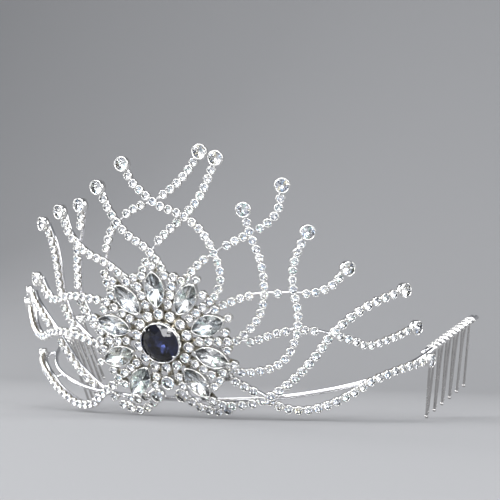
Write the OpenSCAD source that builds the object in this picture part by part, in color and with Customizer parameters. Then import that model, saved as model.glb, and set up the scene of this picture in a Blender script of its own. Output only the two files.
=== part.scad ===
// Bridal tiara: a lattice of crystal-set twigs that rises from a horseshoe
// band wire, a ten-point rosette at the front, and a wire hair comb at each
// end of the band. It is drawn as it stands on a table, on the front scallops
// and on the first tooth of each comb. The wearer looks towards -Y.
//
// The lattice lies on one curved sheet. A place on the sheet is [s, h]: s is
// the distance along the band from its centre, plus to +X, and h is the height
// over the band wire. A third number d is the distance out from the sheet.

/* [Band] */
// Half of the straight stretch at the front of the band
front_flat = 8.5; // [6:0.5:10]
// Radius of the band beside the front
front_radius = 66; // [62:1:70]
// Turn of the band over the front radius, in degrees
front_turn = 32; // [30:1:34]
// Radius of the band at the temples
side_radius = 53; // [50:1:56]
// Heading of the band's straight ends, in degrees
end_heading = 72; // [68:1:76]
// Distance along the band from the centre to each end
band_reach = 117; // [116:0.5:120]
// Diameter of the band wire
wire_d = 1.5; // [1.2:0.1:1.6]

/* [Lattice sheet] */
// Outward lean of the sheet at the band wire
sheet_lean = 0.085; // [0.07:0.005:0.1]
// Radius that bends the sheet back over its height
sheet_bend = 235; // [220:5:260]

/* [Twigs] */
// Width of a twig's rail
rail_w = 1.0; // [0.8:0.1:1.1]
// Depth of a twig's rail
rail_t = 1.5; // [1.5:0.05:1.7]
// Height of a stone cup over its rail
cup_h = 1.3; // [1.1:0.05:1.3]
// Wall of a stone cup
cup_wall = 0.16; // [0.12:0.02:0.2]
// Distance from stone to stone on the fine twigs
fine_pitch = 2.55; // [2.5:0.05:2.7]
// Distance from stone to stone on the bold twigs
bold_pitch = 2.8; // [2.75:0.05:3]
// Diameter of the bezel at the end of each twig
tip_d = 4.3; // [4:0.1:4.4]
// Height of the bezel at the end of each twig
tip_h = 2.2; // [1.8:0.1:2.4]

/* [Rosette] */
// Height of the rosette's centre over the band wire
rosette_h = 21; // [20:0.5:22]
// Diameter of the blue centre stone
centre_d = 11; // [10:0.2:11.4]
// Distance of the petals from the rosette's centre
petal_ring_r = 15.1; // [15:0.1:15.2]
// Length of a petal stone
petal_l = 10.4; // [9.6:0.1:10.6]
// Width of a petal stone
petal_w = 5.8; // [5:0.1:5.9]
// Distance of the inner ring of stones from the centre
inner_ring_r = 7.9; // [7.8:0.1:8]
// Number of stones in the inner ring
inner_ring_count = 14; // [12:1:15]

/* [Combs] */
// Number of teeth on each comb
tooth_count = 11; // [9:1:11]
// Distance from tooth to tooth
tooth_pitch = 2.6; // [2.4:0.1:2.7]
// Length of a tooth
tooth_l = 24.5; // [20:0.5:26]
// Diameter of a tooth
tooth_d = 0.9; // [0.8:0.1:1]
// Lean of the teeth towards the head, in degrees
tooth_lean = 9; // [0:1:12]
// Further lean of every other tooth, in degrees
tooth_splay = 2.5; // [0:0.5:4]
// Diameter of a comb's spine
spine_d = 1.4; // [1.2:0.1:1.6]

/* [Hidden] */

$fn = 48;

// Twigs. Each is [layer, pitch, route]. Layer 1 runs in front of the sheet and
// layer 0 behind it, so two twigs that cross touch back to back. A route runs
// from the tip down to the rosette, in [s, h].
LEFT_TWIGS = [
    [1, fine_pitch, [[-8, 69.5], [-6, 65], [-2, 61], [2, 58], [9, 55], [14, 50.5],
                     [17, 44], [18, 38], [16, 33], [12, 29]]],
    [1, fine_pitch, [[-16.5, 63.5], [-14, 58], [-9, 51], [-3, 46.5], [0.5, 42], [2, 38],
                     [3, 34]]],
    [0, fine_pitch, [[-24.5, 58.5], [-25.5, 53], [-27.5, 46], [-28.5, 38], [-29, 31],
                     [-25, 24], [-20, 20], [-14, 19]]],
    [1, fine_pitch, [[-31.5, 56.5], [-29, 50.5], [-23, 45.5], [-17, 43], [-12, 39.5],
                     [-8, 36], [-5, 33]]],
    [0, fine_pitch, [[-43, 52], [-39.5, 47], [-38, 41], [-37.5, 34], [-37, 28], [-34, 23],
                     [-28, 18.5], [-21, 14.5], [-13, 14]]],
    [1, fine_pitch, [[-47, 35], [-43, 30.5], [-38, 30], [-31, 32], [-24, 32], [-18, 31],
                     [-12, 27]]],
    [0, bold_pitch, [[-68, 25.5], [-58, 24], [-51, 21.5], [-45, 18], [-41, 14], [-34, 7],
                     [-26, 2], [-20, 0.5], [-14, 0.5], [-9, 3], [-5, 8]]],
    [1, fine_pitch, [[-73, 20.5], [-66, 17], [-58, 15], [-51, 15.5], [-45, 18], [-38, 20],
                     [-31, 20], [-22, 18], [-14, 19.5]]],
    [1, bold_pitch, [[-79, 0], [-67, 1.5], [-57, 1], [-51, -1], [-44, -3], [-37, -3.8],
                     [-30, -2], [-25, 2], [-18, 7], [-12, 11.5]]],
];
RIGHT_TWIGS = [
    [0, fine_pitch, [[15, 71.5], [10, 66], [5, 62], [0, 59.5], [-7, 57], [-13, 53], [-16, 48],
                     [-18, 41], [-17, 35], [-12, 29]]],
    [0, fine_pitch, [[19.5, 69.5], [17, 65], [14, 60], [9, 55], [3, 50.5], [-2, 46], [-5, 41],
                     [-7, 37], [-8, 32.5]]],
    [1, fine_pitch, [[26, 55.5], [27, 49], [29, 41], [29, 33], [27, 26.5], [23, 22], [18, 18.5],
                     [13, 17]]],
    [0, fine_pitch, [[37, 60.5], [35, 54], [30, 50], [22, 47], [14, 43], [9, 39], [5, 34.5]]],
    [1, fine_pitch, [[42, 47.5], [38, 41], [36.5, 34], [37, 26], [36, 20], [33, 14], [28, 11],
                     [20, 10.5], [13, 13]]],
    [0, fine_pitch, [[52, 35.5], [47, 31.5], [41, 30.5], [34, 31.5], [26, 32], [18, 30],
                     [12, 27]]],
    [1, bold_pitch, [[68, 25.5], [58, 24.5], [51, 22], [45, 18], [41, 13.5], [34, 7], [26, 2],
                     [20, 0.5], [14, 0.5], [9, 3], [5, 8]]],
    [0, fine_pitch, [[73, 12.5], [65, 12], [56, 12], [51, 15], [45, 18], [38, 20.5], [31, 20.5],
                     [22, 18.5], [14, 20]]],
    [0, bold_pitch, [[79, 0], [67, 1.5], [57, 1], [51, -1], [44, -3], [37, -3.8], [30, -2],
                     [25, 2], [18, 7], [12, 11.5]]],
];
// The scallops under the rosette run from a big end stone out to the band wire.
SCALLOPS = [
    [1, bold_pitch, [[-5.5, 3.5], [-8.5, 0], [-12.5, -2], [-18, -0.5]]],
    [0, bold_pitch, [[1.5, 3], [5, -0.5], [8.5, -2], [12.5, -2.3], [18, -1]]],
];
TWIGS = concat(LEFT_TWIGS, RIGHT_TWIGS, SCALLOPS);
LEFT_FIRST = 0;
RIGHT_FIRST = len(LEFT_TWIGS);
SCALLOP_FIRST = len(LEFT_TWIGS) + len(RIGHT_TWIGS);

// A twig's cup is this much smaller across than its pitch.
cup_gap = 0.06;
// Rings of a rail from one point of its route to the next.
rail_steps = 3;
// Least gap from a cup to another twig. A stone that comes nearer is left out.
cross_gap = 0.03;
// Stones stop this far from the rosette's centre, under its petals.
rosette_clear = 16.5;
// Clearance of a stone in its cup.
stone_gap = 0.02;

wire_r = wire_d / 2;
// The band wire runs behind the rails of the back layer.
wire_depth = -rail_t - wire_r;
spine_depth = wire_depth - wire_r - spine_d / 2;
comb_start = band_reach - 32;
first_tooth = comb_start + 4;
bead_r = tooth_d / 2 + 0.15;

// ---- the curved sheet ----

shoulder_end = front_flat + front_radius * front_turn * PI / 180;
temple_end = shoulder_end + side_radius * (end_heading - front_turn) * PI / 180;

// Heading of the band at s, in degrees: 0 at the front, plus towards +X.
function heading(s) =
    let (a = abs(s))
    sign(s) * (a <= front_flat ? 0
        : a <= shoulder_end ? (a - front_flat) / front_radius * 180 / PI
        : a <= temple_end ? front_turn + (a - shoulder_end) / side_radius * 180 / PI
        : end_heading);

// Plan position of the band at a distance a from its centre, on the +X side.
function half_plan(a) =
    let (t = heading(a))
    a <= front_flat ? [a, 0]
    : a <= shoulder_end ? [front_flat + front_radius * sin(t), front_radius * (1 - cos(t))]
    : let (
        corner = [front_flat + front_radius * sin(front_turn),
                  front_radius * (1 - cos(front_turn))],
        bend = side_radius * [sin(t) - sin(front_turn), cos(front_turn) - cos(t)],
        rest = max(a - temple_end, 0)
    )
    corner + bend + rest * [cos(t), sin(t)];

// Slope of the sheet at the height h: plus where it leans out.
function sheet_slope(h) = sheet_lean - h / sheet_bend;

// Place on the sheet, d out from it, with the band level.
function at(p, d) =
    let (
        s = p[0],
        h = p[1],
        plan = half_plan(abs(s)),
        t = heading(s),
        k = 1 / norm([1, sheet_slope(h)]),
        out = sheet_lean * h - h * h / (2 * sheet_bend) + d * k
    )
    [(s < 0 ? -plan[0] : plan[0]) + out * sin(t), plan[1] - out * cos(t), h - d * k * sheet_slope(h)];

// ---- routes ----

// Catmull-Rom point between p[i] and p[i + 1].
function spline(p, i, t) =
    let (
        last = len(p) - 1,
        a = i > 0 ? p[i - 1] : 2 * p[0] - p[1],
        b = p[i],
        c = p[i + 1],
        e = i + 2 <= last ? p[i + 2] : 2 * p[last] - p[last - 1]
    )
    b + t / 2 * (c - a) + t * t / 2 * (2 * a - 5 * b + 4 * c - e)
      + t * t * t / 2 * (3 * b - a - 3 * c + e);

function smooth_route(p, steps) = [
    for (i = [0 : len(p) - 2], k = [0 : steps - 1]) spline(p, i, k / steps),
    p[len(p) - 1]
];

// Running length of a route up to each of its points.
function run(r) = [
    for (i = 0, sum = 0; i < len(r); sum = sum + (i + 1 < len(r) ? norm(r[i + 1] - r[i]) : 0), i = i + 1)
        sum
];

// Places of a twig's stones, a pitch apart, from just past the tip's bezel.
function stone_places(twig) =
    let (
        pitch = twig[1],
        r = smooth_route(twig[2], 8),
        l = run(r),
        s_of = [for (i = [0 : len(r) - 1]) [l[i], r[i][0]]],
        h_of = [for (i = [0 : len(r) - 1]) [l[i], r[i][1]]],
        first = (tip_d + pitch) / 2,
        total = l[len(l) - 1]
    )
    [for (x = [first : pitch : total]) [lookup(x, s_of), lookup(x, h_of)]];

ROUTES = [for (twig = TWIGS) smooth_route(twig[2], rail_steps)];
PLACES = [for (twig = TWIGS) stone_places(twig)];

function nearest(p, group) = min([for (q = group) norm(p - q)]);

function segment_gap(p, a, b) =
    let (t = max(0, min(1, (p - a) * (b - a) / ((b - a) * (b - a)))))
    norm(p - a - t * (b - a));

function route_gap(p, r) = min([for (i = [0 : len(r) - 2]) segment_gap(p, r[i], r[i + 1])]);

// Twigs of the front layer whose rail crosses a stone of twig k at p.
function rails_near(p, k) = [
    for (j = [0 : len(TWIGS) - 1])
        if (TWIGS[j][0] > TWIGS[k][0])
            if (route_gap(p, ROUTES[j]) < (rail_w + TWIGS[k][1] - cup_gap) / 2 + cross_gap) j
];
// Earlier twigs of the same layer whose stones come too near.
function stones_near(p, k) = [
    for (j = [0 : 1 : k - 1])
        if (TWIGS[j][0] == TWIGS[k][0])
            if (nearest(p, PLACES[j]) < (TWIGS[j][1] + TWIGS[k][1]) / 2 - cup_gap + cross_gap) j
];
function tips_near(p, k) = [
    for (j = [0 : len(TWIGS) - 1])
        if (j != k && norm(p - TWIGS[j][2][0]) < (tip_d + TWIGS[k][1] - cup_gap) / 2 + cross_gap) j
];

function is_free(p, k) =
    norm(p - [0, rosette_h]) > rosette_clear
    && len(rails_near(p, k)) == 0
    && len(stones_near(p, k)) == 0
    && len(tips_near(p, k)) == 0;

function kept_places(k) = [for (p = PLACES[k]) if (is_free(p, k)) p];

// ---- stance ----

// Lowest point of the rim of each cup that lies under the band wire.
FRONT_FEET = [
    for (k = [0 : len(TWIGS) - 1], p = kept_places(k))
        if (p[1] < 0) at(p - [0, (TWIGS[k][1] - cup_gap) / 2], cup_base(TWIGS[k][0]) + cup_h)
];

// Middle of the bead at the tip of a comb's tooth, one of those that lean less.
function bead(i) =
    let (plan = half_plan(first_tooth + i * tooth_pitch), d = spine_depth - tooth_l * sin(tooth_lean))
    [plan[0] + d * sin(end_heading), plan[1] - d * cos(end_heading), -tooth_l * cos(tooth_lean)];

// Tilt at which a front foot and the first tooth's bead both touch the table.
function tilt_onto(foot) =
    let (v = bead(0) - foot)
    asin(bead_r / norm([v[1], v[2]])) - atan2(v[2], v[1]);

band_tilt = min([for (foot = FRONT_FEET) tilt_onto(foot)]);
function tilted_y(p) = p[1] * cos(band_tilt) - p[2] * sin(band_tilt);
function tilted_z(p) = p[1] * sin(band_tilt) + p[2] * cos(band_tilt);

seat_h = bead_r - tilted_z(bead(0));
// The foremost point is the top of a twig's bezel, and the rearmost is the last tooth's bead.
foremost = tilted_y(at(LEFT_TWIGS[0][2][0] + [0, tip_d / 2], rail_t + tip_h));
rearmost = tilted_y(bead(tooth_count - 1)) + bead_r;
seat_back = -(foremost + rearmost) / 2;

// ---- placing ----

module standing() {
    translate([0, seat_back, seat_h]) rotate([band_tilt, 0, 0]) children();
}

// Puts the children on the sheet at p, d out from it, with +Z outwards.
module on_sheet(p, d) {
    translate(at(p, d)) rotate([90 + atan(sheet_slope(p[1])), 0, heading(p[0])]) children();
}

module on_rosette(z = 0) {
    on_sheet([0, rosette_h], z) children();
}

// Base of a twig's cups over the sheet.
function cup_base(layer) = layer == 1 ? rail_t : 0;

// ---- stones and their settings ----

// Open cup of outer radius r and height h.
module cup(r, h, wall = cup_wall) {
    rotate_extrude()
        polygon([[0, 0], [r, 0], [r, h], [r - wall, h], [r - wall, wall], [0, wall]]);
}

// Round stone that fills a cup of outer radius r and height h, and rises over it.
module round_stone(r, h, wall = cup_wall) {
    stone_r = r - wall - stone_gap;
    rotate_extrude()
        polygon([[0, wall], [stone_r, wall], [stone_r, h - 0.2],
                 [0.62 * stone_r, h + 0.3 * stone_r - 0.2], [0, h + 0.3 * stone_r - 0.2]]);
}

// Pointed oval of length l and width w.
module marquise(l, w) {
    arc_r = (l * l + w * w) / (4 * w);
    intersection_for (side = [-1, 1])
        translate([0, side * (arc_r - w / 2)]) circle(r = arc_r, $fn = 96);
}

module twig_cups(first, last) {
    for (k = [first : last], p = kept_places(k))
        on_sheet(p, cup_base(TWIGS[k][0])) cup((TWIGS[k][1] - cup_gap) / 2, cup_h);
}

module twig_stones(first, last) {
    for (k = [first : last], p = kept_places(k))
        on_sheet(p, cup_base(TWIGS[k][0])) round_stone((TWIGS[k][1] - cup_gap) / 2, cup_h);
}

// ---- band and combs ----

// Places of the wire's rings along the band: close together where it bends.
WIRE_RINGS = concat(-band_reach, [for (i = [-16 : 16]) i * temple_end / 16], band_reach);
wire_sides = 10;

function wire_point(s, a) =
    let (plan = half_plan(abs(s)), t = heading(s), out = wire_depth + wire_r * cos(a))
    [(s < 0 ? -plan[0] : plan[0]) + out * sin(t), plan[1] - out * cos(t), wire_r * sin(a)];

// Puts the children on the +X end of the band, with +Z along it.
module on_band_end(s, d) {
    translate([half_plan(s)[0] + d * sin(end_heading), half_plan(s)[1] - d * cos(end_heading), 0])
        rotate([0, 0, end_heading]) rotate([0, 90, 0]) children();
}

module base_wire() {
    n = len(WIRE_RINGS);
    points = [for (s = WIRE_RINGS, k = [0 : wire_sides - 1]) wire_point(s, k * 360 / wire_sides)];
    sides = [
        for (i = [0 : n - 2], k = [0 : wire_sides - 1])
            let (a = wire_sides * i + k, b = wire_sides * i + (k + 1) % wire_sides)
                each [[a, b + wire_sides, b], [a, a + wire_sides, b + wire_sides]]
    ];
    first_end = [for (k = [0 : wire_sides - 1]) k];
    last_end = [for (k = [0 : wire_sides - 1]) wire_sides * n - 1 - k];
    color("silver") standing() polyhedron(points, concat(sides, [first_end, last_end]));
}

// The lowest twig at -X runs in the front layer, so posts join it to the band wire.
module left_band_posts() {
    color("silver") standing()
        for (s = [-78, -54]) on_sheet([s, 0], -rail_t) cylinder(h = rail_t, d = 0.9, $fn = 20);
}

module comb_spine() {
    on_band_end(comb_start - 1.5, spine_depth)
        cylinder(h = band_reach - comb_start + 1.5, d = spine_d, $fn = 24);
}

module comb_teeth() {
    difference() {
        for (i = [0 : tooth_count - 1])
            on_band_end(first_tooth + i * tooth_pitch, spine_depth)
                rotate([0, 0, tooth_lean + (i % 2 == 0 ? 0 : tooth_splay)]) rotate([0, 90, 0]) {
                    cylinder(h = tooth_l, d = tooth_d, $fn = 20);
                    translate([0, 0, tooth_l]) sphere(r = bead_r, $fn = 20);
                }
        comb_spine();
    }
}

module comb_binding() {
    ring_r = (wire_d + spine_d) / 2 + 0.35;
    middle = (wire_depth + wire_r + spine_depth - spine_d / 2) / 2;
    for (i = [-1 : tooth_count - 2])
        on_band_end(first_tooth + (i + 0.5) * tooth_pitch, middle)
            rotate_extrude($fn = 32) translate([ring_r, 0]) circle(r = 0.3, $fn = 16);
}

module right_comb_spine() { color("silver") standing() comb_spine(); }
module right_comb_teeth() { color("lightgray") standing() comb_teeth(); }
module right_comb_binding() { color("white") standing() comb_binding(); }
module left_comb_spine() { color("silver") standing() mirror([1, 0, 0]) comb_spine(); }
module left_comb_teeth() { color("lightgray") standing() mirror([1, 0, 0]) comb_teeth(); }
module left_comb_binding() { color("white") standing() mirror([1, 0, 0]) comb_binding(); }

// ---- twigs ----

// Four corners of a rail across its route at r[i].
function rail_ring(r, i, d) =
    let (
        last = len(r) - 1,
        along = r[min(i + 1, last)] - r[max(i - 1, 0)],
        side = [-along[1], along[0]] / norm(along) * rail_w / 2
    )
    [at(r[i] + side, d), at(r[i] - side, d), at(r[i] - side, d + rail_t), at(r[i] + side, d + rail_t)];

module rail(twig) {
    r = smooth_route(twig[2], rail_steps);
    n = len(r);
    base = cup_base(twig[0]) - rail_t;
    points = [for (i = [0 : n - 1]) each rail_ring(r, i, base)];
    sides = [
        for (i = [0 : n - 2], k = [0 : 3])
            let (a = 4 * i + k, b = 4 * i + (k + 1) % 4)
                each [[a, b, b + 4], [a, b + 4, a + 4]]
    ];
    ends = [[0, 3, 2, 1], [for (k = [0 : 3]) 4 * (n - 1) + k]];
    polyhedron(points, concat(sides, ends));
}

module left_twig(number) { color("gainsboro") standing() rail(LEFT_TWIGS[number - 1]); }
module right_twig(number) { color("gainsboro") standing() rail(RIGHT_TWIGS[number - 1]); }
module left_scallop() { color("gainsboro") standing() rail(SCALLOPS[0]); }
module right_scallop() { color("gainsboro") standing() rail(SCALLOPS[1]); }

module left_twig_cups() { color("silver") standing() twig_cups(LEFT_FIRST, RIGHT_FIRST - 1); }
module right_twig_cups() { color("silver") standing() twig_cups(RIGHT_FIRST, SCALLOP_FIRST - 1); }
module left_twig_stones() { color("white") standing() twig_stones(LEFT_FIRST, RIGHT_FIRST - 1); }
module right_twig_stones() { color("white") standing() twig_stones(RIGHT_FIRST, SCALLOP_FIRST - 1); }
module scallop_cups() { color("silver") standing() twig_cups(SCALLOP_FIRST, len(TWIGS) - 1); }
module scallop_stones() { color("white") standing() twig_stones(SCALLOP_FIRST, len(TWIGS) - 1); }

module tip_bezels() {
    color("silver") standing()
        for (twig = TWIGS) on_sheet(twig[2][0], cup_base(twig[0])) cup(tip_d / 2, tip_h, 0.25);
}

module tip_stones() {
    color("white") standing()
        for (twig = TWIGS) on_sheet(twig[2][0], cup_base(twig[0])) round_stone(tip_d / 2, tip_h, 0.25);
}

// ---- rosette ----

petal_count = 10;
petal_step = 360 / petal_count;
plate_base = rail_t;
plate_t = 0.6;
// The gallery carries the settings, clear of the twigs' stones.
gallery_t = 0.6;
gallery_base = rail_t + cup_h + 0.2;
setting_base = gallery_base + gallery_t;
post_base = plate_base + plate_t;
setting_h = 1.9;
setting_wall = 0.3;
inner_cup_r = 1.5;
drop_r = 2.1;
drop_ring_r = 12.4;
bezel_h = 3.4;
bezel_wall = 0.5;
bezel_r = centre_d / 2 + bezel_wall;
crest_r = petal_ring_r + 6.6;
crest_cup_r = 1.1;
// Stones in the gap between two petals: [angle from the gap's middle, distance, cup radius].
INNER_GAP_STONES = [[0, 11.3, 1.25], [0, 14, 1.3]];
OUTER_GAP_STONES = [[0, 16.75, 1.3], [0, 19.5, 1.2], [-7.7, 19.3, 1.2], [7.7, 19.3, 1.2]];
gap_spoke_r = 19.5;

// Nine petals: the place straight down belongs to the drop stone.
module at_petals(r = petal_ring_r) {
    for (i = [0 : petal_count - 1])
        if (i != petal_count / 2) rotate(i * petal_step) translate([0, r]) children();
}

// The two gaps beside the drop stone hold only their inner stones, over the scallops' ends.
function gap_stones(i) =
    abs(i + 0.5 - petal_count / 2) < 1 ? INNER_GAP_STONES : concat(INNER_GAP_STONES, OUTER_GAP_STONES);

module fill(height) {
    for (i = [0 : petal_count - 1], g = gap_stones(i))
        rotate((i + 0.5) * petal_step + g[0]) translate([0, g[1], height]) {
            $cup_r = g[2];
            children();
        }
    at_petals(crest_r) translate([0, 0, height]) {
        $cup_r = crest_cup_r;
        children();
    }
}

module ring(outer_r, inner_r) {
    difference() {
        circle(r = outer_r);
        circle(r = inner_r);
    }
}

module spoke(angle, first_r, last_r, width) {
    rotate(angle) translate([-width / 2, first_r]) square([width, last_r - first_r]);
}

// Bar of a ring, out to a half angle on each side of the spoke at an angle.
module spoke_arc(angle, r, half_angle) {
    rotate(angle) intersection() {
        ring(r + 0.5, r - 0.5);
        polygon([[0, 0], 2 * r * [-sin(half_angle), cos(half_angle)],
                 2 * r * [sin(half_angle), cos(half_angle)]]);
    }
}

module rosette_backplate() {
    color("silver") standing() on_rosette(plate_base) linear_extrude(plate_t) {
        ring(14, 12.2);
        ring(7, 4);
        for (i = [0 : petal_count - 1]) spoke(i * petal_step, 6.5, 12.5, 1.2);
    }
}

module rosette_posts() {
    color("silver") standing() on_rosette(post_base)
        for (i = [0 : petal_count - 1])
            rotate(i * petal_step) translate([0, 13])
                cylinder(h = gallery_base - post_base, r = 0.7, $fn = 24);
}

// Pierced plate under the settings, around the centre bezel.
module rosette_gallery() {
    color("silver") standing() on_rosette(gallery_base) linear_extrude(gallery_t) {
        ring(8.6, bezel_r);
        ring(14, 12.2);
        for (i = [0 : petal_count - 1]) {
            spoke(i * petal_step, 8, i == petal_count / 2 ? drop_ring_r : crest_r, 1.1);
            spoke((i + 0.5) * petal_step, 8, len(gap_stones(i)) > 2 ? gap_spoke_r : 13, 0.9);
            if (len(gap_stones(i)) > 2)
                spoke_arc((i + 0.5) * petal_step, gap_spoke_r - 0.4, 8.5);
        }
    }
}

module centre_bezel() {
    color("silver") standing() on_rosette(post_base)
        cup(bezel_r, setting_base - post_base + bezel_h, bezel_wall);
}

module centre_stone() {
    color("midnightblue") standing() on_rosette(post_base)
        round_stone(bezel_r, setting_base - post_base + bezel_h, bezel_wall);
}

module inner_ring_cups() {
    color("silver") standing() on_rosette(setting_base)
        for (i = [0 : inner_ring_count - 1])
            rotate(i * 360 / inner_ring_count) translate([0, inner_ring_r]) cup(inner_cup_r, setting_h);
}

module inner_ring_stones() {
    color("white") standing() on_rosette(setting_base)
        for (i = [0 : inner_ring_count - 1])
            rotate(i * 360 / inner_ring_count) translate([0, inner_ring_r])
                round_stone(inner_cup_r, setting_h);
}

module petal_settings() {
    color("silver") standing() on_rosette(setting_base) at_petals() rotate(90) {
        linear_extrude(setting_wall) marquise(petal_l + setting_wall, petal_w + setting_wall);
        linear_extrude(setting_h) difference() {
            marquise(petal_l + setting_wall, petal_w + setting_wall);
            marquise(petal_l - setting_wall, petal_w - setting_wall);
        }
    }
}

module petal_stones() {
    inset = setting_wall + 2 * stone_gap;
    color("white") standing() on_rosette(setting_base) at_petals() rotate(90) {
        translate([0, 0, setting_wall + stone_gap]) linear_extrude(setting_h - setting_wall)
            marquise(petal_l - inset, petal_w - inset);
        translate([0, 0, setting_h]) linear_extrude(0.7)
            marquise(0.72 * petal_l, 0.66 * petal_w);
    }
}

module fill_cups() {
    color("silver") standing() on_rosette() fill(setting_base) cup($cup_r, setting_h);
}

module fill_stones() {
    color("white") standing() on_rosette() fill(setting_base) round_stone($cup_r, setting_h);
}

module drop_bezel() {
    color("silver") standing() on_rosette(setting_base) translate([0, -drop_ring_r])
        cup(drop_r, setting_h + 0.3, 0.25);
}

module drop_stone() {
    color("lightsteelblue") standing() on_rosette(setting_base) translate([0, -drop_ring_r])
        round_stone(drop_r, setting_h + 0.3, 0.25);
}

base_wire();
left_band_posts();
left_comb_spine();
right_comb_spine();
left_comb_teeth();
right_comb_teeth();
left_comb_binding();
right_comb_binding();
left_twig(1);  // left_twig_1
left_twig(2);  // left_twig_2
left_twig(3);  // left_twig_3
left_twig(4);  // left_twig_4
left_twig(5);  // left_twig_5
left_twig(6);  // left_twig_6
left_twig(7);  // left_twig_7
left_twig(8);  // left_twig_8
left_twig(9);  // left_twig_9
right_twig(1);  // right_twig_1
right_twig(2);  // right_twig_2
right_twig(3);  // right_twig_3
right_twig(4);  // right_twig_4
right_twig(5);  // right_twig_5
right_twig(6);  // right_twig_6
right_twig(7);  // right_twig_7
right_twig(8);  // right_twig_8
right_twig(9);  // right_twig_9
left_scallop();
right_scallop();
left_twig_cups();
right_twig_cups();
left_twig_stones();
right_twig_stones();
scallop_cups();
scallop_stones();
tip_bezels();
tip_stones();
rosette_backplate();
rosette_posts();
rosette_gallery();
centre_bezel();
centre_stone();
inner_ring_cups();
inner_ring_stones();
petal_settings();
petal_stones();
fill_cups();
fill_stones();
drop_bezel();
drop_stone();
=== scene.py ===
import itertools
import math

import bmesh
import bpy
import numpy as np
from mathutils import Matrix, Vector


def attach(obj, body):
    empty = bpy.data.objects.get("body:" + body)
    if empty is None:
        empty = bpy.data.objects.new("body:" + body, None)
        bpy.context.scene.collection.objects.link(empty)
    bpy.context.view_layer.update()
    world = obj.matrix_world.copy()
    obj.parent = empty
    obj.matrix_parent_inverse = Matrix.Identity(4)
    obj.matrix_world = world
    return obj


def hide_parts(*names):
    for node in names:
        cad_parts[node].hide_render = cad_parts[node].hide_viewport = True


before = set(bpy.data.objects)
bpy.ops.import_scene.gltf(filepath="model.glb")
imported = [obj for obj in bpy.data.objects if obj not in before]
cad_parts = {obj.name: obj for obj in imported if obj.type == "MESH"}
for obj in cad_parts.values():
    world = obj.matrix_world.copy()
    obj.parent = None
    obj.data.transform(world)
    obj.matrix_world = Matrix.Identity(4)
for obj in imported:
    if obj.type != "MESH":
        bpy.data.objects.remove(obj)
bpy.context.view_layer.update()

MM = 0.001
TINY = 1e-9
WELD = 2e-6  # points of a CAD mesh that lie closer than this are one point
HEAD = np.array([0.0, 0.015, 0.025])  # a point inside the wearer's head: stones face away from it
rng = np.random.default_rng(7)


# ---------------------------------------------------------------- reading the CAD nodes

def solids(node):
    """Each separate solid of a CAD node: its points, and the points each one is linked to."""
    bm = bmesh.new()
    bm.from_mesh(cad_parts[node].data)
    bmesh.ops.remove_doubles(bm, verts=bm.verts, dist=WELD)
    seen, out = set(), []
    for start in bm.verts:
        if start in seen:
            continue
        seen.add(start)
        stack, group = [start], []
        while stack:
            v = stack.pop()
            group.append(v)
            for e in v.link_edges:
                w = e.other_vert(v)
                if w not in seen:
                    seen.add(w)
                    stack.append(w)
        number = {v: i for i, v in enumerate(group)}
        links = [[number[e.other_vert(v)] for e in v.link_edges] for v in group]
        out.append((np.array([v.co[:] for v in group]), links))
    bm.free()
    out.sort(key=lambda s: tuple(np.round(s[0].mean(0), 5)))
    return out


def unit(v):
    return v / np.linalg.norm(v)


def main_axes(points):
    """The middle of a solid, and its spreads and axes, narrowest first."""
    middle = points.mean(0)
    spread, axes = np.linalg.eigh(np.cov((points - middle).T))
    return middle, spread, axes.T


def outward(axis, place):
    """The axis, turned if need be to point away from the head."""
    return axis if axis @ (place - HEAD) > 0 else -axis


def seats(node):
    """Where each round solid of a node sits: base centre, axis away from the head, radius and height."""
    out = []
    for points, _ in solids(node):
        middle, spread, axes = main_axes(points)
        axis = axes[0] if spread[1] - spread[0] > spread[2] - spread[1] else axes[2]
        axis = outward(axis, middle)
        along = (points - middle) @ axis
        radius = np.linalg.norm(points - middle - np.outer(along, axis), axis=1).max()
        out.append((middle + axis * along.min(), axis, radius, along.max() - along.min()))
    return out


def walk(links, start):
    """Rings of points, each one step further from the start."""
    seen, rings = set(start), [list(start)]
    while True:
        new = sorted({j for i in rings[-1] for j in links[i]} - seen)
        if not new:
            return rings
        seen.update(new)
        rings.append(new)


def swept_rings(points, links, sides):
    """The rings of a swept solid with that many sides, from one end to the other."""
    last = walk(links, [0])[-1][0]
    near = np.argsort(np.linalg.norm(points - points[last], axis=1), kind="stable")[1:2 * sides]
    for others in itertools.combinations(near.tolist(), sides - 1):
        rings = walk(links, [last, *others])
        if all(len(r) == sides for r in rings) and sides * len(rings) == len(points):
            return [points[r] for r in rings]
    raise ValueError("no rings in this solid")


# ---------------------------------------------------------------- mesh building

class Pile:
    """Shapes gathered into one mesh. A shape is (points, faces, material of each face, smooth or not)."""

    def __init__(self):
        self.points, self.faces, self.slots, self.smooth = [], [], [], []

    def add(self, shape, matrix=None):
        points, faces, slots, smooth = shape
        base = len(self.points)
        points = np.asarray(points, float)
        if matrix is not None:
            points = points @ matrix[:3, :3].T + matrix[:3, 3]
        self.points.extend(points.tolist())
        self.faces.extend([tuple(base + i for i in f) for f in faces])
        self.slots.extend(slots)
        self.smooth.extend([smooth] * len(faces))

    def object(self, name, materials, slot, replaced):
        mesh = bpy.data.meshes.new(name)
        mesh.from_pydata(self.points, [], self.faces)
        mesh.polygons.foreach_set("material_index", self.slots)
        mesh.polygons.foreach_set("use_smooth", self.smooth)
        for m in materials:
            mesh.materials.append(m)
        mesh.update()
        obj = bpy.data.objects.new(name, mesh)
        bpy.context.scene.collection.objects.link(obj)
        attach(obj, "root")
        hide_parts(*replaced)
        return obj


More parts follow.
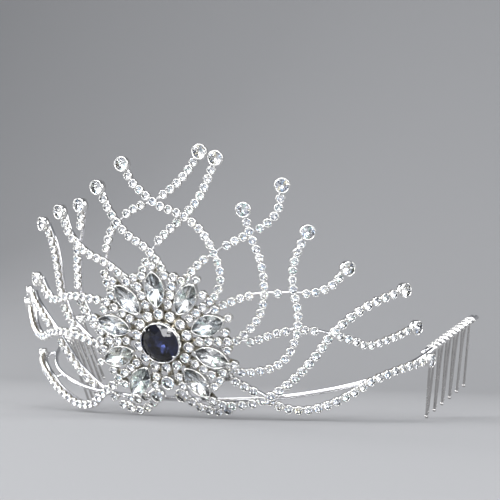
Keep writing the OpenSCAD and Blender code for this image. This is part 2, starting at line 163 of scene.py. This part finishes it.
def stand(place, axis, towards=None):
    """Matrix that puts a shape at a place with its +Z along axis, and its +X near towards."""
    z = unit(np.asarray(axis, float))
    x = np.array([1.0, 0, 0]) if towards is None else np.asarray(towards, float)
    x = x - z * (x @ z)
    if np.linalg.norm(x) < TINY:
        x = np.cross(z, [0, 1.0, 0])
    x = unit(x)
    m = np.eye(4)
    m[:3, 0], m[:3, 1], m[:3, 2] = x, np.cross(z, x), z
    m[:3, 3] = place
    return m


def turned(place, axis, angle):
    """Matrix that stands a shape at a place and turns it about its axis by an angle."""
    z = unit(np.asarray(axis, float))
    x = unit(np.cross(z, [0.3, 0.2, 0.93]))
    return stand(place, z, x * math.cos(angle) + np.cross(z, x) * math.sin(angle))


def revolve(profile, count):
    """Surface of revolution of (radius, height) points. A point on the axis makes a fan."""
    points, rows = [], []
    for r, z in profile:
        if r < TINY:
            rows.append([len(points)])
            points.append((0, 0, z))
        else:
            rows.append(list(range(len(points), len(points) + count)))
            for k in range(count):
                a = 2 * math.pi * k / count
                points.append((r * math.cos(a), r * math.sin(a), z))
    faces = stitch(rows)
    return points, faces, [0] * len(faces), True


def stitch(rows):
    """Faces between rows of points that close around, where a row of one is a pole."""
    faces = []
    for a, b in zip(rows, rows[1:]):
        n = max(len(a), len(b))
        for k in range(n):
            j = (k + 1) % n
            if len(a) == 1:
                faces.append((a[0], b[j], b[k]))
            elif len(b) == 1:
                faces.append((a[k], a[j], b[0]))
            else:
                faces.append((a[k], a[j], b[j], b[k]))
    return faces


def tube(path, sides_of, count, round_ends=True):
    """A rod along a path. sides_of(i) gives the two half-width vectors of the rod at point i."""
    end_size, end_reach = 0.55, 0.85
    points, rows = [], []
    angles = [2 * math.pi * k / count for k in range(count)]
    last = len(path) - 1
    stations = [(i, 1.0, 0.0) for i in range(len(path))]
    if round_ends:
        stations = [(0, end_size, end_reach), *stations, (last, end_size, end_reach)]
    for n, (i, size, reach) in enumerate(stations):
        u, v = sides_of(i)
        away = path[0] - path[1] if n == 0 else path[last] - path[last - 1]
        centre = path[i]
        if reach:
            centre = centre + unit(away) * reach * min(np.linalg.norm(u), np.linalg.norm(v))
        rows.append(list(range(len(points), len(points) + count)))
        for a in angles:
            points.append(centre + size * (u * math.cos(a) + v * math.sin(a)))
    faces = stitch(rows)
    faces.append(tuple(reversed(rows[0])))
    faces.append(tuple(rows[-1]))
    return points, faces, [0] * len(faces), True


def spline(points, steps):
    """Catmull-Rom curve through points, with that many steps from one to the next."""
    p = np.asarray(points, float)
    p = np.vstack([2 * p[0] - p[1], p, 2 * p[-1] - p[-2]])
    out = []
    for a, b, c, d in zip(p, p[1:], p[2:], p[3:]):
        for k in range(steps):
            t = k / steps
            out.append(b + t / 2 * (c - a) + t * t / 2 * (2 * a - 5 * b + 4 * c - d)
                       + t ** 3 / 2 * (3 * b - a - 3 * c + d))
    out.append(p[-2])
    return np.array(out)


# ---------------------------------------------------------------- materials

def new_material(name):
    m = bpy.data.materials.new(name)
    m.use_nodes = True
    return m, m.node_tree.nodes, m.node_tree.links, m.node_tree.nodes["Principled BSDF"]


def metal(name, colour, rough, grain, bump=0.04):
    """Plated metal: small changes of gloss and tone, and fine unevenness."""
    m, nodes, links, shader = new_material(name)
    shader.inputs["Metallic"].default_value = 1.0
    where = nodes.new("ShaderNodeTexCoord")
    noise = nodes.new("ShaderNodeTexNoise")
    noise.inputs["Scale"].default_value = grain
    noise.inputs["Detail"].default_value = 3.0
    links.new(where.outputs["Object"], noise.inputs["Vector"])
    gloss = nodes.new("ShaderNodeMapRange")
    gloss.inputs["From Min"].default_value = 0.3
    gloss.inputs["From Max"].default_value = 0.7
    gloss.inputs["To Min"].default_value = rough * 0.6
    gloss.inputs["To Max"].default_value = rough * 1.5
    links.new(noise.outputs["Fac"], gloss.inputs["Value"])
    links.new(gloss.outputs["Result"], shader.inputs["Roughness"])
    tone = nodes.new("ShaderNodeValToRGB")
    tone.color_ramp.elements[0].position = 0.3
    tone.color_ramp.elements[0].color = (*[c * 0.86 for c in colour], 1)
    tone.color_ramp.elements[1].position = 0.75
    tone.color_ramp.elements[1].color = (*colour, 1)
    links.new(noise.outputs["Fac"], tone.inputs["Fac"])
    links.new(tone.outputs["Color"], shader.inputs["Base Color"])
    fine = nodes.new("ShaderNodeTexNoise")
    fine.inputs["Scale"].default_value = grain * 3
    links.new(where.outputs["Object"], fine.inputs["Vector"])
    relief = nodes.new("ShaderNodeBump")
    relief.inputs["Strength"].default_value = bump
    relief.inputs["Distance"].default_value = 0.0001
    links.new(fine.outputs["Fac"], relief.inputs["Height"])
    links.new(relief.outputs["Normal"], shader.inputs["Normal"])
    return m


def glass(name, colour, ior=1.56):
    """Clear cut glass."""
    m, nodes, links, shader = new_material(name)
    shader.inputs["Base Color"].default_value = (*colour, 1)
    shader.inputs["Transmission Weight"].default_value = 1.0
    shader.inputs["Roughness"].default_value = 0.0
    shader.inputs["IOR"].default_value = ior
    return m


def foil(name, colour, rough=0.09):
    """Mirror foil behind a stone, seen through it."""
    m, nodes, links, shader = new_material(name)
    shader.inputs["Base Color"].default_value = (*colour, 1)
    shader.inputs["Metallic"].default_value = 1.0
    shader.inputs["Roughness"].default_value = rough
    return m


silver = metal("silver_plate", (0.93, 0.925, 0.905), 0.11, 900)
# Dark warm silver: painted shade in the gaps between stones, on the cups' feet and on their inner walls.
shadow_silver = metal("silver_painted_shade_in_the_gaps", (0.22, 0.195, 0.15), 0.3, 900)
twig_silver = metal("twig_plate", (0.90, 0.90, 0.92), 0.14, 700)
# Darker warm silver for the gallery behind the stones: painted shade between them.
gallery_shade_silver = metal("silver_painted_shade_behind_the_stones", (0.42, 0.385, 0.31), 0.28, 800)
comb_steel = metal("comb_wire", (0.62, 0.61, 0.60), 0.2, 300)
crystal = glass("crystal", (0.97, 0.985, 1.0))
blue_glass = glass("blue_crystal", (0.05, 0.065, 0.17), 1.6)
FOILS = [
    foil("foil_white", (0.96, 0.96, 0.97)),
    foil("foil_ice", (0.72, 0.84, 0.97)),
    foil("foil_mint", (0.80, 0.95, 0.86)),
    foil("foil_straw", (0.97, 0.92, 0.76)),
    foil("foil_smoke", (0.34, 0.36, 0.42)),
]
# How often each foil is drawn: for the middle of a round stone, for its edge, and for a petal.
INNER_FOILS = [0.84, 0.06, 0.03, 0.04, 0.03]
# At the edge the dark smoke foil is drawn often: painted shade round each round stone's rim.
OUTER_FOILS = [0.52, 0.07, 0.05, 0.06, 0.30]
PETAL_FOILS = [0.66, 0.09, 0.09, 0.06, 0.10]
STONE_MATERIALS = [crystal, *FOILS]
PETAL_MATERIALS = [
    crystal,
    foil("petal_foil_white", (0.99, 0.99, 0.985), 0.20),
    foil("petal_foil_ice", (0.84, 0.92, 0.99), 0.18),
    foil("petal_foil_mint", (0.86, 0.97, 0.90), 0.18),
    foil("petal_foil_straw", (0.97, 0.94, 0.84), 0.18),
    foil("petal_foil_smoke", (0.46, 0.48, 0.50), 0.14),
]


# ---------------------------------------------------------------- stones and settings

def brilliant(table=0.58, crown=0.30, girdle=0.05, depth=0.88, sides=8):
    """A round brilliant of radius 1, with the upper edge of its girdle at z = 0.

    Its faces' materials are 0, or -1 (middle) and -2 (edge) for those backed with foil.
    """
    points = []

    def ring(count, start, radius, z):
        first = len(points)
        for k in range(count):
            a = math.radians(start + 360 / count * k)
            points.append((radius * math.cos(a), radius * math.sin(a), z))
        return lambda k: first + k % count

    half_step = 180 / sides
    half = math.cos(math.radians(half_step))
    star_r, low_r = 0.81, 0.42
    star_z = crown * (1 - star_r * half) / (1 - table)
    low_z = -depth + (depth - girdle) * low_r * half
    # T is the table, M the crown's middle, G and g the girdle's edges, Q the middle of the back.
    T, M = ring(sides, 0, table, crown), ring(sides, half_step, star_r, star_z)
    G, g = ring(2 * sides, 0, 1, 0), ring(2 * sides, 0, 1, -girdle)
    Q = ring(sides, half_step, low_r, low_z)
    culet = len(points)
    points.append((0, 0, -depth))
    top = [tuple(T(k) for k in range(sides))]
    below = []
    for k in range(sides):
        top += [(T(k), M(k), T(k + 1)), (T(k), M(k - 1), G(2 * k)), (T(k), G(2 * k), M(k)),
                (M(k), G(2 * k), G(2 * k + 1)), (M(k), G(2 * k + 1), G(2 * k + 2))]
        below += [(culet, Q(k), g(2 * k), Q(k - 1)), (Q(k), g(2 * k + 1), g(2 * k)),
                  (Q(k), g(2 * k + 2), g(2 * k + 1))]
    top += [(g(k), g(k + 1), G(k + 1), G(k)) for k in range(2 * sides)]
    return np.array(points), top + below, [0] * len(top) + [-1, -2, -2] * sides, False


def foil_backed(shape, inner_shares=INNER_FOILS, outer_shares=OUTER_FOILS):
    """The shape with a foil drawn for each backed facet: bright in the middle, often the dark foil at the
    edge, which paints shade on the stone's rim.
    """
    points, faces, slots, smooth = shape
    inner = 1 + rng.choice(len(FOILS), size=len(slots), p=inner_shares)
    outer = 1 + rng.choice(len(FOILS), size=len(slots), p=outer_shares)
    return points, faces, [int(a) if s == -1 else int(b) if s == -2 else s
                           for s, a, b in zip(slots, inner, outer)], smooth


def scaled(shape, x, y, z):
    """The shape stretched along its own axes."""
    return np.asarray(shape[0]) * [x, y, z], *shape[1:]


def claw(inner, outer, low, top, width, lean):
    """A claw at +X that rises at the radius outer from low to top and bends in to the radius inner."""
    thick, sides = 0.11 * MM, 8
    spine = [(outer, low), (outer, top - 0.35 * MM), (outer - 0.08 * MM, top - 0.05 * MM),
             (outer - 0.25 * MM, top + lean * 0.7), (inner, top + lean)]
    points, rows = [], []
    for i, (r, z) in enumerate(spine):
        before, after = spine[max(i - 1, 0)], spine[min(i + 1, len(spine) - 1)]
        along = unit(np.array([after[0] - before[0], after[1] - before[1]]))
        side = np.array([along[1], -along[0]])
        w = width * (0.45 if i == len(spine) - 1 else 0.85 if i == 3 else 1.0)
        t = thick * (0.6 if i == len(spine) - 1 else 1.0)
        rows.append(list(range(len(points), len(points) + sides)))
        for k in range(sides):
            a = 2 * math.pi * (k + 0.5) / sides
            d = side * t * math.cos(a)
            points.append((r + d[0], w / 2 * math.sin(a), z + d[1]))
    faces = stitch(rows) + [tuple(rows[-1]), tuple(reversed(rows[0]))]
    return np.array(points), faces, [0] * len(faces), True


def lifted(z):
    """Matrix that moves a shape up by z."""
    m = np.eye(4)
    m[2, 3] = z
    return m


def spun(shape, angle):
    """The shape turned about its Z axis."""
    c, s = math.cos(angle), math.sin(angle)
    return np.asarray(shape[0]) @ np.array([[c, -s, 0], [s, c, 0], [0, 0, 1]]).T, *shape[1:]


def cup(radius, height):
    """Stone cup with a bright rim and four small claws. Its inside and its foot take painted shade."""
    count = 24
    rim = 0.86 * height
    profile = [(0, 0), (radius * 0.84, 0), (radius * 0.96, 0.12 * height), (radius * 1.01, 0.4 * height),
               (radius * 1.02, rim - 0.16 * MM), (radius - 0.05 * MM, rim - 0.02 * MM),
               (radius - 0.16 * MM, rim + 0.03 * MM), (radius - 0.27 * MM, rim - 0.02 * MM),
               (radius - 0.30 * MM, rim - 0.12 * MM), (radius - 0.27 * MM, 0.35 * height)]
    points, faces, _, smooth = revolve(profile, count)
    # The outside of the foot and the inner wall take the dark silver: painted shade.
    bright, painted_shade = [0] * count, [1] * count
    parts = [(points, faces, bright + painted_shade * 2 + bright * 5 + painted_shade, smooth)]
    one = claw(radius - 0.44 * MM, radius - 0.06 * MM, 0.45 * height, height - 0.02 * MM,
               0.26 * MM, 0.06 * MM)
    return parts + [spun(one, math.radians(angle)) for angle in (45, 135, 225, 315)]


def bezel(radius, height, lip=0.42 * MM, count=40):
    """Smooth bezel with a lip rolled over the stone's edge. Its inside takes painted shade."""
    r, h = radius, height
    profile = [(0, 0), (r * 0.8, 0), (r - 0.12 * MM, 0.1 * MM), (r, 0.45 * h), (r, h - 0.2 * MM),
               (r - 0.08 * MM, h - 0.03 * MM), (r - 0.5 * lip, h + 0.05 * MM), (r - lip, h - 0.06 * MM),
               (r - lip - 0.03 * MM, h - 0.22 * MM), (r - lip + 0.02 * MM, 0.4 * h)]
    points, faces, _, smooth = revolve(profile, count)
    # The inner wall takes the dark silver: painted shade.
    return [(points, faces, [0] * (len(faces) - count) + [1] * count, smooth)]


def neighbour_directions(places):
    """From each place to the nearest other one."""
    places = np.array(places)
    out = []
    for i, p in enumerate(places):
        gap = np.linalg.norm(places - p, axis=1)
        gap[i] = 1
        out.append(places[gap.argmin()] - p)
    return out


ROUND = brilliant()


def set_round(cups_node, stones_node, name, make_setting, sink, wall):
    """Cups or bezels, and their stones, in the places of the CAD nodes.

    A stone's girdle lies sink under the top of its setting and wall inside the setting's radius.
    """
    tilt = 0.03  # how unevenly the stones are set
    found = seats(cups_node)
    metal_pile, stone_pile = Pile(), Pile()
    shapes = {}
    ways = neighbour_directions([f[0] for f in found]) if len(found) > 1 else [np.array([0, 0, 1.0])]
    for (place, axis, radius, height), way in zip(found, ways):
        key = round(radius / MM, 2)
        if key not in shapes:
            shapes[key] = make_setting(radius, height)
        matrix = stand(place, axis, way)
        for part in shapes[key]:
            metal_pile.add(part, matrix)
        r = radius - wall
        nudge = axis + rng.normal(0, tilt, 3)
        at = place + axis * (height - sink)
        stone_pile.add(foil_backed(scaled(ROUND, r, r, 0.95 * r)), turned(at, nudge, rng.uniform(0, 6.28)))
    metal_pile.object(name + "_setting", [silver, shadow_silver], "setting_metal", [cups_node])
    stone_pile.object(name + "_crystal", STONE_MATERIALS, "crystal", [stones_node])


# How a round stone is set: the setting, the stone's sink and the wall around it.
IN_CUP = (cup, 0.20 * MM, 0.33 * MM)
IN_BEZEL = (bezel, 0.34 * MM, 0.50 * MM)
set_round("left_twig_cups", "left_twig_stones", "left_twig", *IN_CUP)
set_round("right_twig_cups", "right_twig_stones", "right_twig", *IN_CUP)
set_round("scallop_cups", "scallop_stones", "scallop", *IN_CUP)
set_round("tip_bezels", "tip_stones", "tip", *IN_BEZEL)
set_round("inner_ring_cups", "inner_ring_stones", "inner_ring", *IN_CUP)
set_round("fill_cups", "fill_stones", "fill", *IN_CUP)
set_round("drop_bezel", "drop_stone", "drop", *IN_BEZEL)


# ---------------------------------------------------------------- petals

PETAL_WALL = 0.28 * MM
PETAL_CROWN, PETAL_DEPTH = 0.80 * MM, 1.5 * MM
PETAL_SINK = 0.12 * MM  # from the top of the setting down to the stone's girdle
PETAL_INSET = 0.5 * MM  # how much smaller the stone is than its setting, each way


def lens_y(x, length, width):
    """Half the width of a pointed oval at x. Its outline is two arcs."""
    arc = (length ** 2 + width ** 2) / (4 * width)
    return math.sqrt(max(arc ** 2 - x ** 2, 0)) - (arc - width / 2)


def to_lens(x, y, length, width):
    """Maps a point of the unit disc into a pointed oval."""
    rho, a = math.hypot(x, y), math.atan2(y, x)
    edge_x = length / 2 * math.cos(a)
    edge_y = math.copysign(lens_y(edge_x, length, width), math.sin(a))
    return rho * edge_x, rho * edge_y


def marquise(length, width, crown, depth):
    """A brilliant drawn out to a pointed oval. Every other point of its back is raised, for more sparkle."""
    points, faces, slots, smooth = brilliant(table=0.46, crown=1, girdle=0.05, depth=1, sides=12)
    below_girdle, raised = -0.1, 0.72
    out = []
    for i, (x, y, z) in enumerate(points):
        u, v = to_lens(x, y, length, width)
        if z < below_girdle and i % 2:
            z *= raised
        out.append((u, v, z * (crown if z > 0 else depth)))
    return np.array(out), faces, slots, smooth


def lens_wall(length, width, height, wall):
    """Box setting of a pointed oval stone, with a claw at each point and four at the sides."""
    count = 40
    points, rows = [], []

    def row(l, w, z):
        rows.append(list(range(len(points), len(points) + count)))
        for k in range(count):
            a = 2 * math.pi * k / count
            x, y = to_lens(math.cos(a), math.sin(a), l, w)
            points.append((x, y, z))

    row(length * 0.8, width * 0.75, 0)
    row(length, width, 0.15 * height)
    row(length, width, height * 0.92)
    row(length - 0.1 * MM, width - 0.1 * MM, height)
    row(length - 2 * wall, width - 2 * wall, height)
    row(length - 2.2 * wall, width - 2.2 * wall, height * 0.4)
    faces = stitch(rows) + [tuple(reversed(rows[0]))]
    parts = [(np.array(points), faces, [0] * len(faces), True)]
    for angle in (0, 180):
        tip = claw(-0.75 * MM, 0, 0.2 * height, height, 0.75 * MM, 0.28 * MM)
        moved = np.asarray(tip[0]) + [length / 2 - 0.05 * MM, 0, 0]
        parts.append(spun((moved, *tip[1:]), math.radians(angle)))
    for x in (-0.24, 0.24):
        for side in (-1, 1):
            y = lens_y(x * length, length, width)
            arm = claw(-0.5 * MM, 0, 0.2 * height, height, 0.42 * MM, 0.2 * MM)
            turn = spun(arm, math.radians(90 * side - 14 * side * x / 0.24))
            moved = np.asarray(turn[0]) + [x * length, side * y, 0]
            parts.append((moved, *turn[1:]))
    return parts


petal_metal, petal_glass = Pile(), Pile()
for points, _ in solids("petal_settings"):
    middle, _, axes = main_axes(points)
    axis = outward(axes[0], middle)
    long_way = axes[2]
    along, across = (points - middle) @ long_way, (points - middle) @ np.cross(axis, long_way)
    up = (points - middle) @ axis
    middle = middle + long_way * (along.max() + along.min()) / 2 + axis * up.min()
    length, width, height = np.ptp(along), np.ptp(across), np.ptp(up)
    matrix = stand(middle, axis, long_way)
    for part in lens_wall(length, width, height, PETAL_WALL):
        petal_metal.add(part, matrix)
    gem = marquise(length - PETAL_INSET, width - PETAL_INSET, PETAL_CROWN, PETAL_DEPTH)
    petal_glass.add(foil_backed(gem, PETAL_FOILS, PETAL_FOILS), matrix @ lifted(height - PETAL_SINK))
petal_metal.object("petal_setting", [silver], "setting_metal", ["petal_settings"])
petal_glass.object("petal_crystal", PETAL_MATERIALS, "crystal", ["petal_stones"])


# ---------------------------------------------------------------- centre of the rosette

place, axis, radius, height = seats("centre_bezel")[0]
matrix = stand(place, axis, np.cross([0, 0, 1.0], axis))
pile = Pile()
for part in bezel(radius, height, 0.38 * MM, 96):
    pile.add(part, matrix)
# Claws at the four corners. The one at the upper right is the largest. Each is (angle, reach, width).
for angle, reach, width in ((45, 1.75 * MM, 1.5 * MM), (135, 1.0 * MM, 0.8 * MM),
                            (225, 1.0 * MM, 0.8 * MM), (315, 1.0 * MM, 0.8 * MM)):
    part = claw(radius - reach, radius - 0.15 * MM, height - 1.6 * MM, height, width, 0.3 * MM)
    pile.add(spun(part, math.radians(angle)), matrix)
pile.object("centre_setting", [silver, shadow_silver], "setting_metal", ["centre_bezel"])

pile = Pile()
r = radius - 0.4 * MM
gem = scaled(brilliant(table=0.56, crown=0.27, depth=0.72), r, r, r)
gem = (gem[0], gem[1], [1 if s < 0 else 0 for s in gem[2]], False)
pile.add(spun(gem, math.radians(8)), matrix @ lifted(height - 0.45 * MM))
pile.object("centre_gem", [blue_glass, FOILS[4]], "blue_stone", ["centre_stone"])


# ---------------------------------------------------------------- rails, band wire and combs

RAIL_HALF_DEPTH, RAIL_HALF_WIDTH = 0.68 * MM, 0.38 * MM
BEAD_R, TINE_R = 0.6 * MM, 0.43 * MM
# The wire round the comb's rods: half the size of its oval, its turns, their pitch, and its radius.
WRAP_X, WRAP_Y, WRAP_TURNS, WRAP_PITCH, WRAP_R = 1.56 * MM, 0.87 * MM, 3, 0.36 * MM, 0.13 * MM


def rail_rod(node):
    """A smooth rounded rod along a CAD rail."""
    points, links = solids(node)[0]
    rings = swept_rings(points, links, 4)
    centres = [r.mean(0) for r in rings]
    depths, widths = [], []
    for i, (ring, centre) in enumerate(zip(rings, centres)):
        along = unit(centres[min(i + 1, len(rings) - 1)] - centres[max(i - 1, 0)])
        depth = outward(unit(main_depth(ring, along)), centre)
        depths.append(depth * RAIL_HALF_DEPTH)
        widths.append(unit(np.cross(along, depth)) * RAIL_HALF_WIDTH)
    path, depth, width = spline(centres, 4), spline(depths, 4), spline(widths, 4)
    return tube(path, lambda i: (width[i], depth[i]), 12)


def main_depth(ring, along):
    """The longer way across a ring of four points."""
    flat = ring - ring.mean(0)
    flat = flat - np.outer(flat @ along, along)
    pairs = [(flat[j] - flat[0]) for j in (1, 2, 3)]
    pairs.sort(key=lambda v: np.linalg.norm(v))
    return pairs[1]


rails = sorted(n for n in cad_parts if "_twig_" in n and n[-1].isdigit())
for node in [*rails, "left_scallop", "right_scallop"]:
    pile = Pile()
    pile.add(rail_rod(node))
    pile.object(node + "_rail", [twig_silver], "twig_metal", [node])

points, links = solids("base_wire")[0]
rings = swept_rings(points, links, 10)
centres = np.array([r.mean(0) for r in rings])
wire_r = np.linalg.norm(rings[0] - centres[0], axis=1).max()
front = centres[len(centres) // 2]
band_up = unit(np.cross(centres[-1] - front, centres[0] - front))
band_up = band_up if band_up[2] > 0 else -band_up


def wire_sides(i):
    """Half-width vectors of the band wire at a point of its path."""
    along = unit(centres[min(i + 1, len(centres) - 1)] - centres[max(i - 1, 0)])
    return unit(np.cross(along, band_up)) * wire_r, band_up * wire_r


pile = Pile()
pile.add(tube(centres, wire_sides, 20))
pile.object("band_wire", [twig_silver], "twig_metal", ["base_wire"])

pile = Pile()
for place, axis, radius, height in seats("left_band_posts"):
    foot = radius * 1.35
    neck = [(0, 0), (foot, 0), (radius, 0.3 * height), (radius, 0.7 * height), (foot, height), (0, height)]
    pile.add(revolve(neck, 20), stand(place, axis))
pile.object("band_post", [twig_silver], "twig_metal", ["left_band_posts"])


def rod_ends(points):
    """The two ends of a long straight solid, and how far each of its points is from its axis."""
    middle, _, axes = main_axes(points)
    along = (points - middle) @ axes[2]
    radial = np.linalg.norm(points - middle - np.outer(along, axes[2]), axis=1)
    return middle + axes[2] * along.min(), middle + axes[2] * along.max(), radial


for side in ("left", "right"):
    spine_points = solids(f"{side}_comb_spine")[0][0]
    a, b, radial = rod_ends(spine_points)
    along = unit(b - a)
    u = unit(np.cross(along, band_up))
    pile = Pile()
    r = radial.max()
    path = np.array([a + (b - a) * t for t in np.linspace(0, 1, 12)])
    pile.add(tube(path, lambda i: (u * r, band_up * r), 18))
    pile.object(f"{side}_comb_rod", [twig_silver], "comb_wire", [f"{side}_comb_spine"])

    pile = Pile()
    for points, _ in solids(f"{side}_comb_teeth"):
        p, q, _ = rod_ends(points)
        top, tip = (p, q) if (p - q) @ band_up > 0 else (q, p)
        down = unit(tip - top)
        end = tip - down * BEAD_R
        bend = (u * rng.normal(0, 0.12) + along * rng.normal(0, 0.10)) * MM
        path = spline([top, top + (end - top) * 0.35 + bend, top + (end - top) * 0.7 + bend * 0.6, end], 5)
        x, y = np.cross(down, u), u
        pile.add(tube(path, lambda i: (x * TINE_R, y * TINE_R), 12, False))
        arc = [(BEAD_R * math.cos(t), BEAD_R * math.sin(t)) for t in np.linspace(-1.2, 1.2, 7)]
        pile.add(revolve([(0, -BEAD_R), *arc, (0, BEAD_R)], 14), stand(end, -down))
    pile.object(f"{side}_comb_tines", [comb_steel], "comb_wire", [f"{side}_comb_teeth"])

    pile = Pile()
    for points, _ in solids(f"{side}_comb_binding"):
        centre = (points.max(0) + points.min(0)) / 2
        steps = 20
        path, us, vs = [], [], []
        for k in range(WRAP_TURNS * steps + 1):
            t = 2 * math.pi * k / steps
            # Two rods side by side: the wire runs round them as a long oval.
            x = math.copysign(abs(math.cos(t)) ** 0.8, math.cos(t)) * WRAP_X
            y = math.copysign(abs(math.sin(t)) ** 0.7, math.sin(t)) * WRAP_Y
            path.append(centre + u * x + band_up * y + along * (k / steps - WRAP_TURNS / 2) * WRAP_PITCH)
            us.append(unit(u * math.cos(t) + band_up * math.sin(t)) * WRAP_R)
            vs.append(along * WRAP_R)
        pile.add(tube(np.array(path), lambda i: (us[i], vs[i]), 8))
    pile.object(f"{side}_comb_wrap", [silver], "comb_wire", [f"{side}_comb_binding"])


# ---------------------------------------------------------------- plates behind the rosette

def soften(node, material):
    """A CAD plate with its edges rounded."""
    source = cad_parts[node]
    bm = bmesh.new()
    bm.from_mesh(source.data)
    bmesh.ops.remove_doubles(bm, verts=bm.verts, dist=WELD)
    bmesh.ops.dissolve_limit(bm, angle_limit=0.02, verts=bm.verts, edges=bm.edges)
    mesh = bpy.data.meshes.new(node + "_soft")
    bm.to_mesh(mesh)
    bm.free()
    obj = bpy.data.objects.new(node + "_metal", mesh)
    bpy.context.scene.collection.objects.link(obj)
    mesh.materials.append(material)
    mod = obj.modifiers.new("edge", "BEVEL")
    mod.width = 0.12 * MM
    mod.segments = 2
    mod.limit_method = "ANGLE"
    mod.angle_limit = math.radians(50)
    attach(obj, "root")
    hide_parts(node)


# The gallery is painted darker, as shade between the stones.
soften("rosette_gallery", gallery_shade_silver)
soften("rosette_backplate", silver)
soften("rosette_posts", silver)


# ---------------------------------------------------------------- stage

def backdrop():
    """Floor that curves up into a wall behind, and rises a little at its far ends."""
    front, foot, curve, top = -9.0, 0.5, 0.9, 4.0
    profile = [(front, 0.0), (foot, 0.0)]
    profile += [(foot + curve * math.sin(a), curve - curve * math.cos(a))
                for a in np.linspace(0.06, math.pi / 2, 26)]
    profile += [(foot + curve, top)]
    ends = [(9.0, 1.6), (8.6, 0.9), (8.1, 0.35), (7.5, 0.08), (7.0, 0.0)]
    across = [(-x, rise) for x, rise in ends] + [(x, rise) for x, rise in reversed(ends)]
    count = len(across)
    points = [(x, y, z + rise) for y, z in profile for x, rise in across]
    faces = [(count * i + k, count * i + k + 1, count * (i + 1) + k + 1, count * (i + 1) + k)
             for i in range(len(profile) - 1) for k in range(count - 1)]
    mesh = bpy.data.meshes.new("backdrop")
    mesh.from_pydata(points, [], faces)
    mesh.polygons.foreach_set("use_smooth", [True] * len(faces))
    obj = bpy.data.objects.new("backdrop", mesh)
    bpy.context.scene.collection.objects.link(obj)
    m, nodes, links, shader = new_material("pale_floor")
    shader.inputs["Base Color"].default_value = (0.27, 0.272, 0.28, 1)
    shader.inputs["Roughness"].default_value = 0.9
    shader.inputs["Specular IOR Level"].default_value = 0.1
    mesh.materials.append(m)


AIM = (0, 0, 0.03)


def area_light(name, place, size, power, colour=(1, 1, 1), target=AIM):
    data = bpy.data.lights.new(name, "AREA")
    data.shape = "RECTANGLE"
    data.size, data.size_y = size
    data.energy = power
    data.color = colour
    obj = bpy.data.objects.new(name, data)
    obj.location = place
    obj.rotation_euler = (Vector(target) - Vector(place)).to_track_quat("-Z", "Y").to_euler()
    bpy.context.scene.collection.objects.link(obj)


backdrop()
area_light("key", (-0.75, -0.95, 0.85), (0.8, 0.5), 15)
area_light("fill", (1.05, -0.75, 0.45), (0.5, 0.8), 8, (0.95, 0.97, 1.0))
area_light("top", (0.0, 0.05, 1.2), (0.9, 0.4), 4)
area_light("front", (0.3, -1.15, 0.30), (0.5, 0.3), 3.5)
area_light("front_wide", (0.2, -1.7, 0.8), (2.4, 1.4), 15)
area_light("rim", (-0.95, 0.45, 0.5), (0.3, 0.8), 4)
area_light("rim_right", (1.0, 0.4, 0.5), (0.4, 0.8), 5)
area_light("side", (-1.2, -0.3, 0.3), (0.7, 0.5), 5)
area_light("sky", (0.1, -0.9, 1.4), (1.6, 0.9), 12)
area_light("wall_wash", (0, -0.4, 1.9), (1.6, 0.3), 3, target=(0, 1.3, 0.5))

world = bpy.data.worlds.new("studio")
world.use_nodes = True
bpy.context.scene.world = world
world.node_tree.nodes["Background"].inputs["Color"].default_value = (0.62, 0.65, 0.70, 1)
world.node_tree.nodes["Background"].inputs["Strength"].default_value = 0.5

# The camera stands low in front of the rosette, as in the photograph.
lens = bpy.data.cameras.new("camera")
lens.lens = 72
lens.sensor_width = 36
lens.clip_start = 0.01
lens.clip_end = 20
camera = bpy.data.objects.new("camera", lens)
camera.location = (0.12315, -0.28990, 0.01412)
camera.rotation_euler = (math.radians(96.794), math.radians(-1.298), math.radians(21.043))
bpy.context.scene.collection.objects.link(camera)
bpy.context.scene.camera = camera
bpy.context.scene.view_settings.view_transform = "Standard"
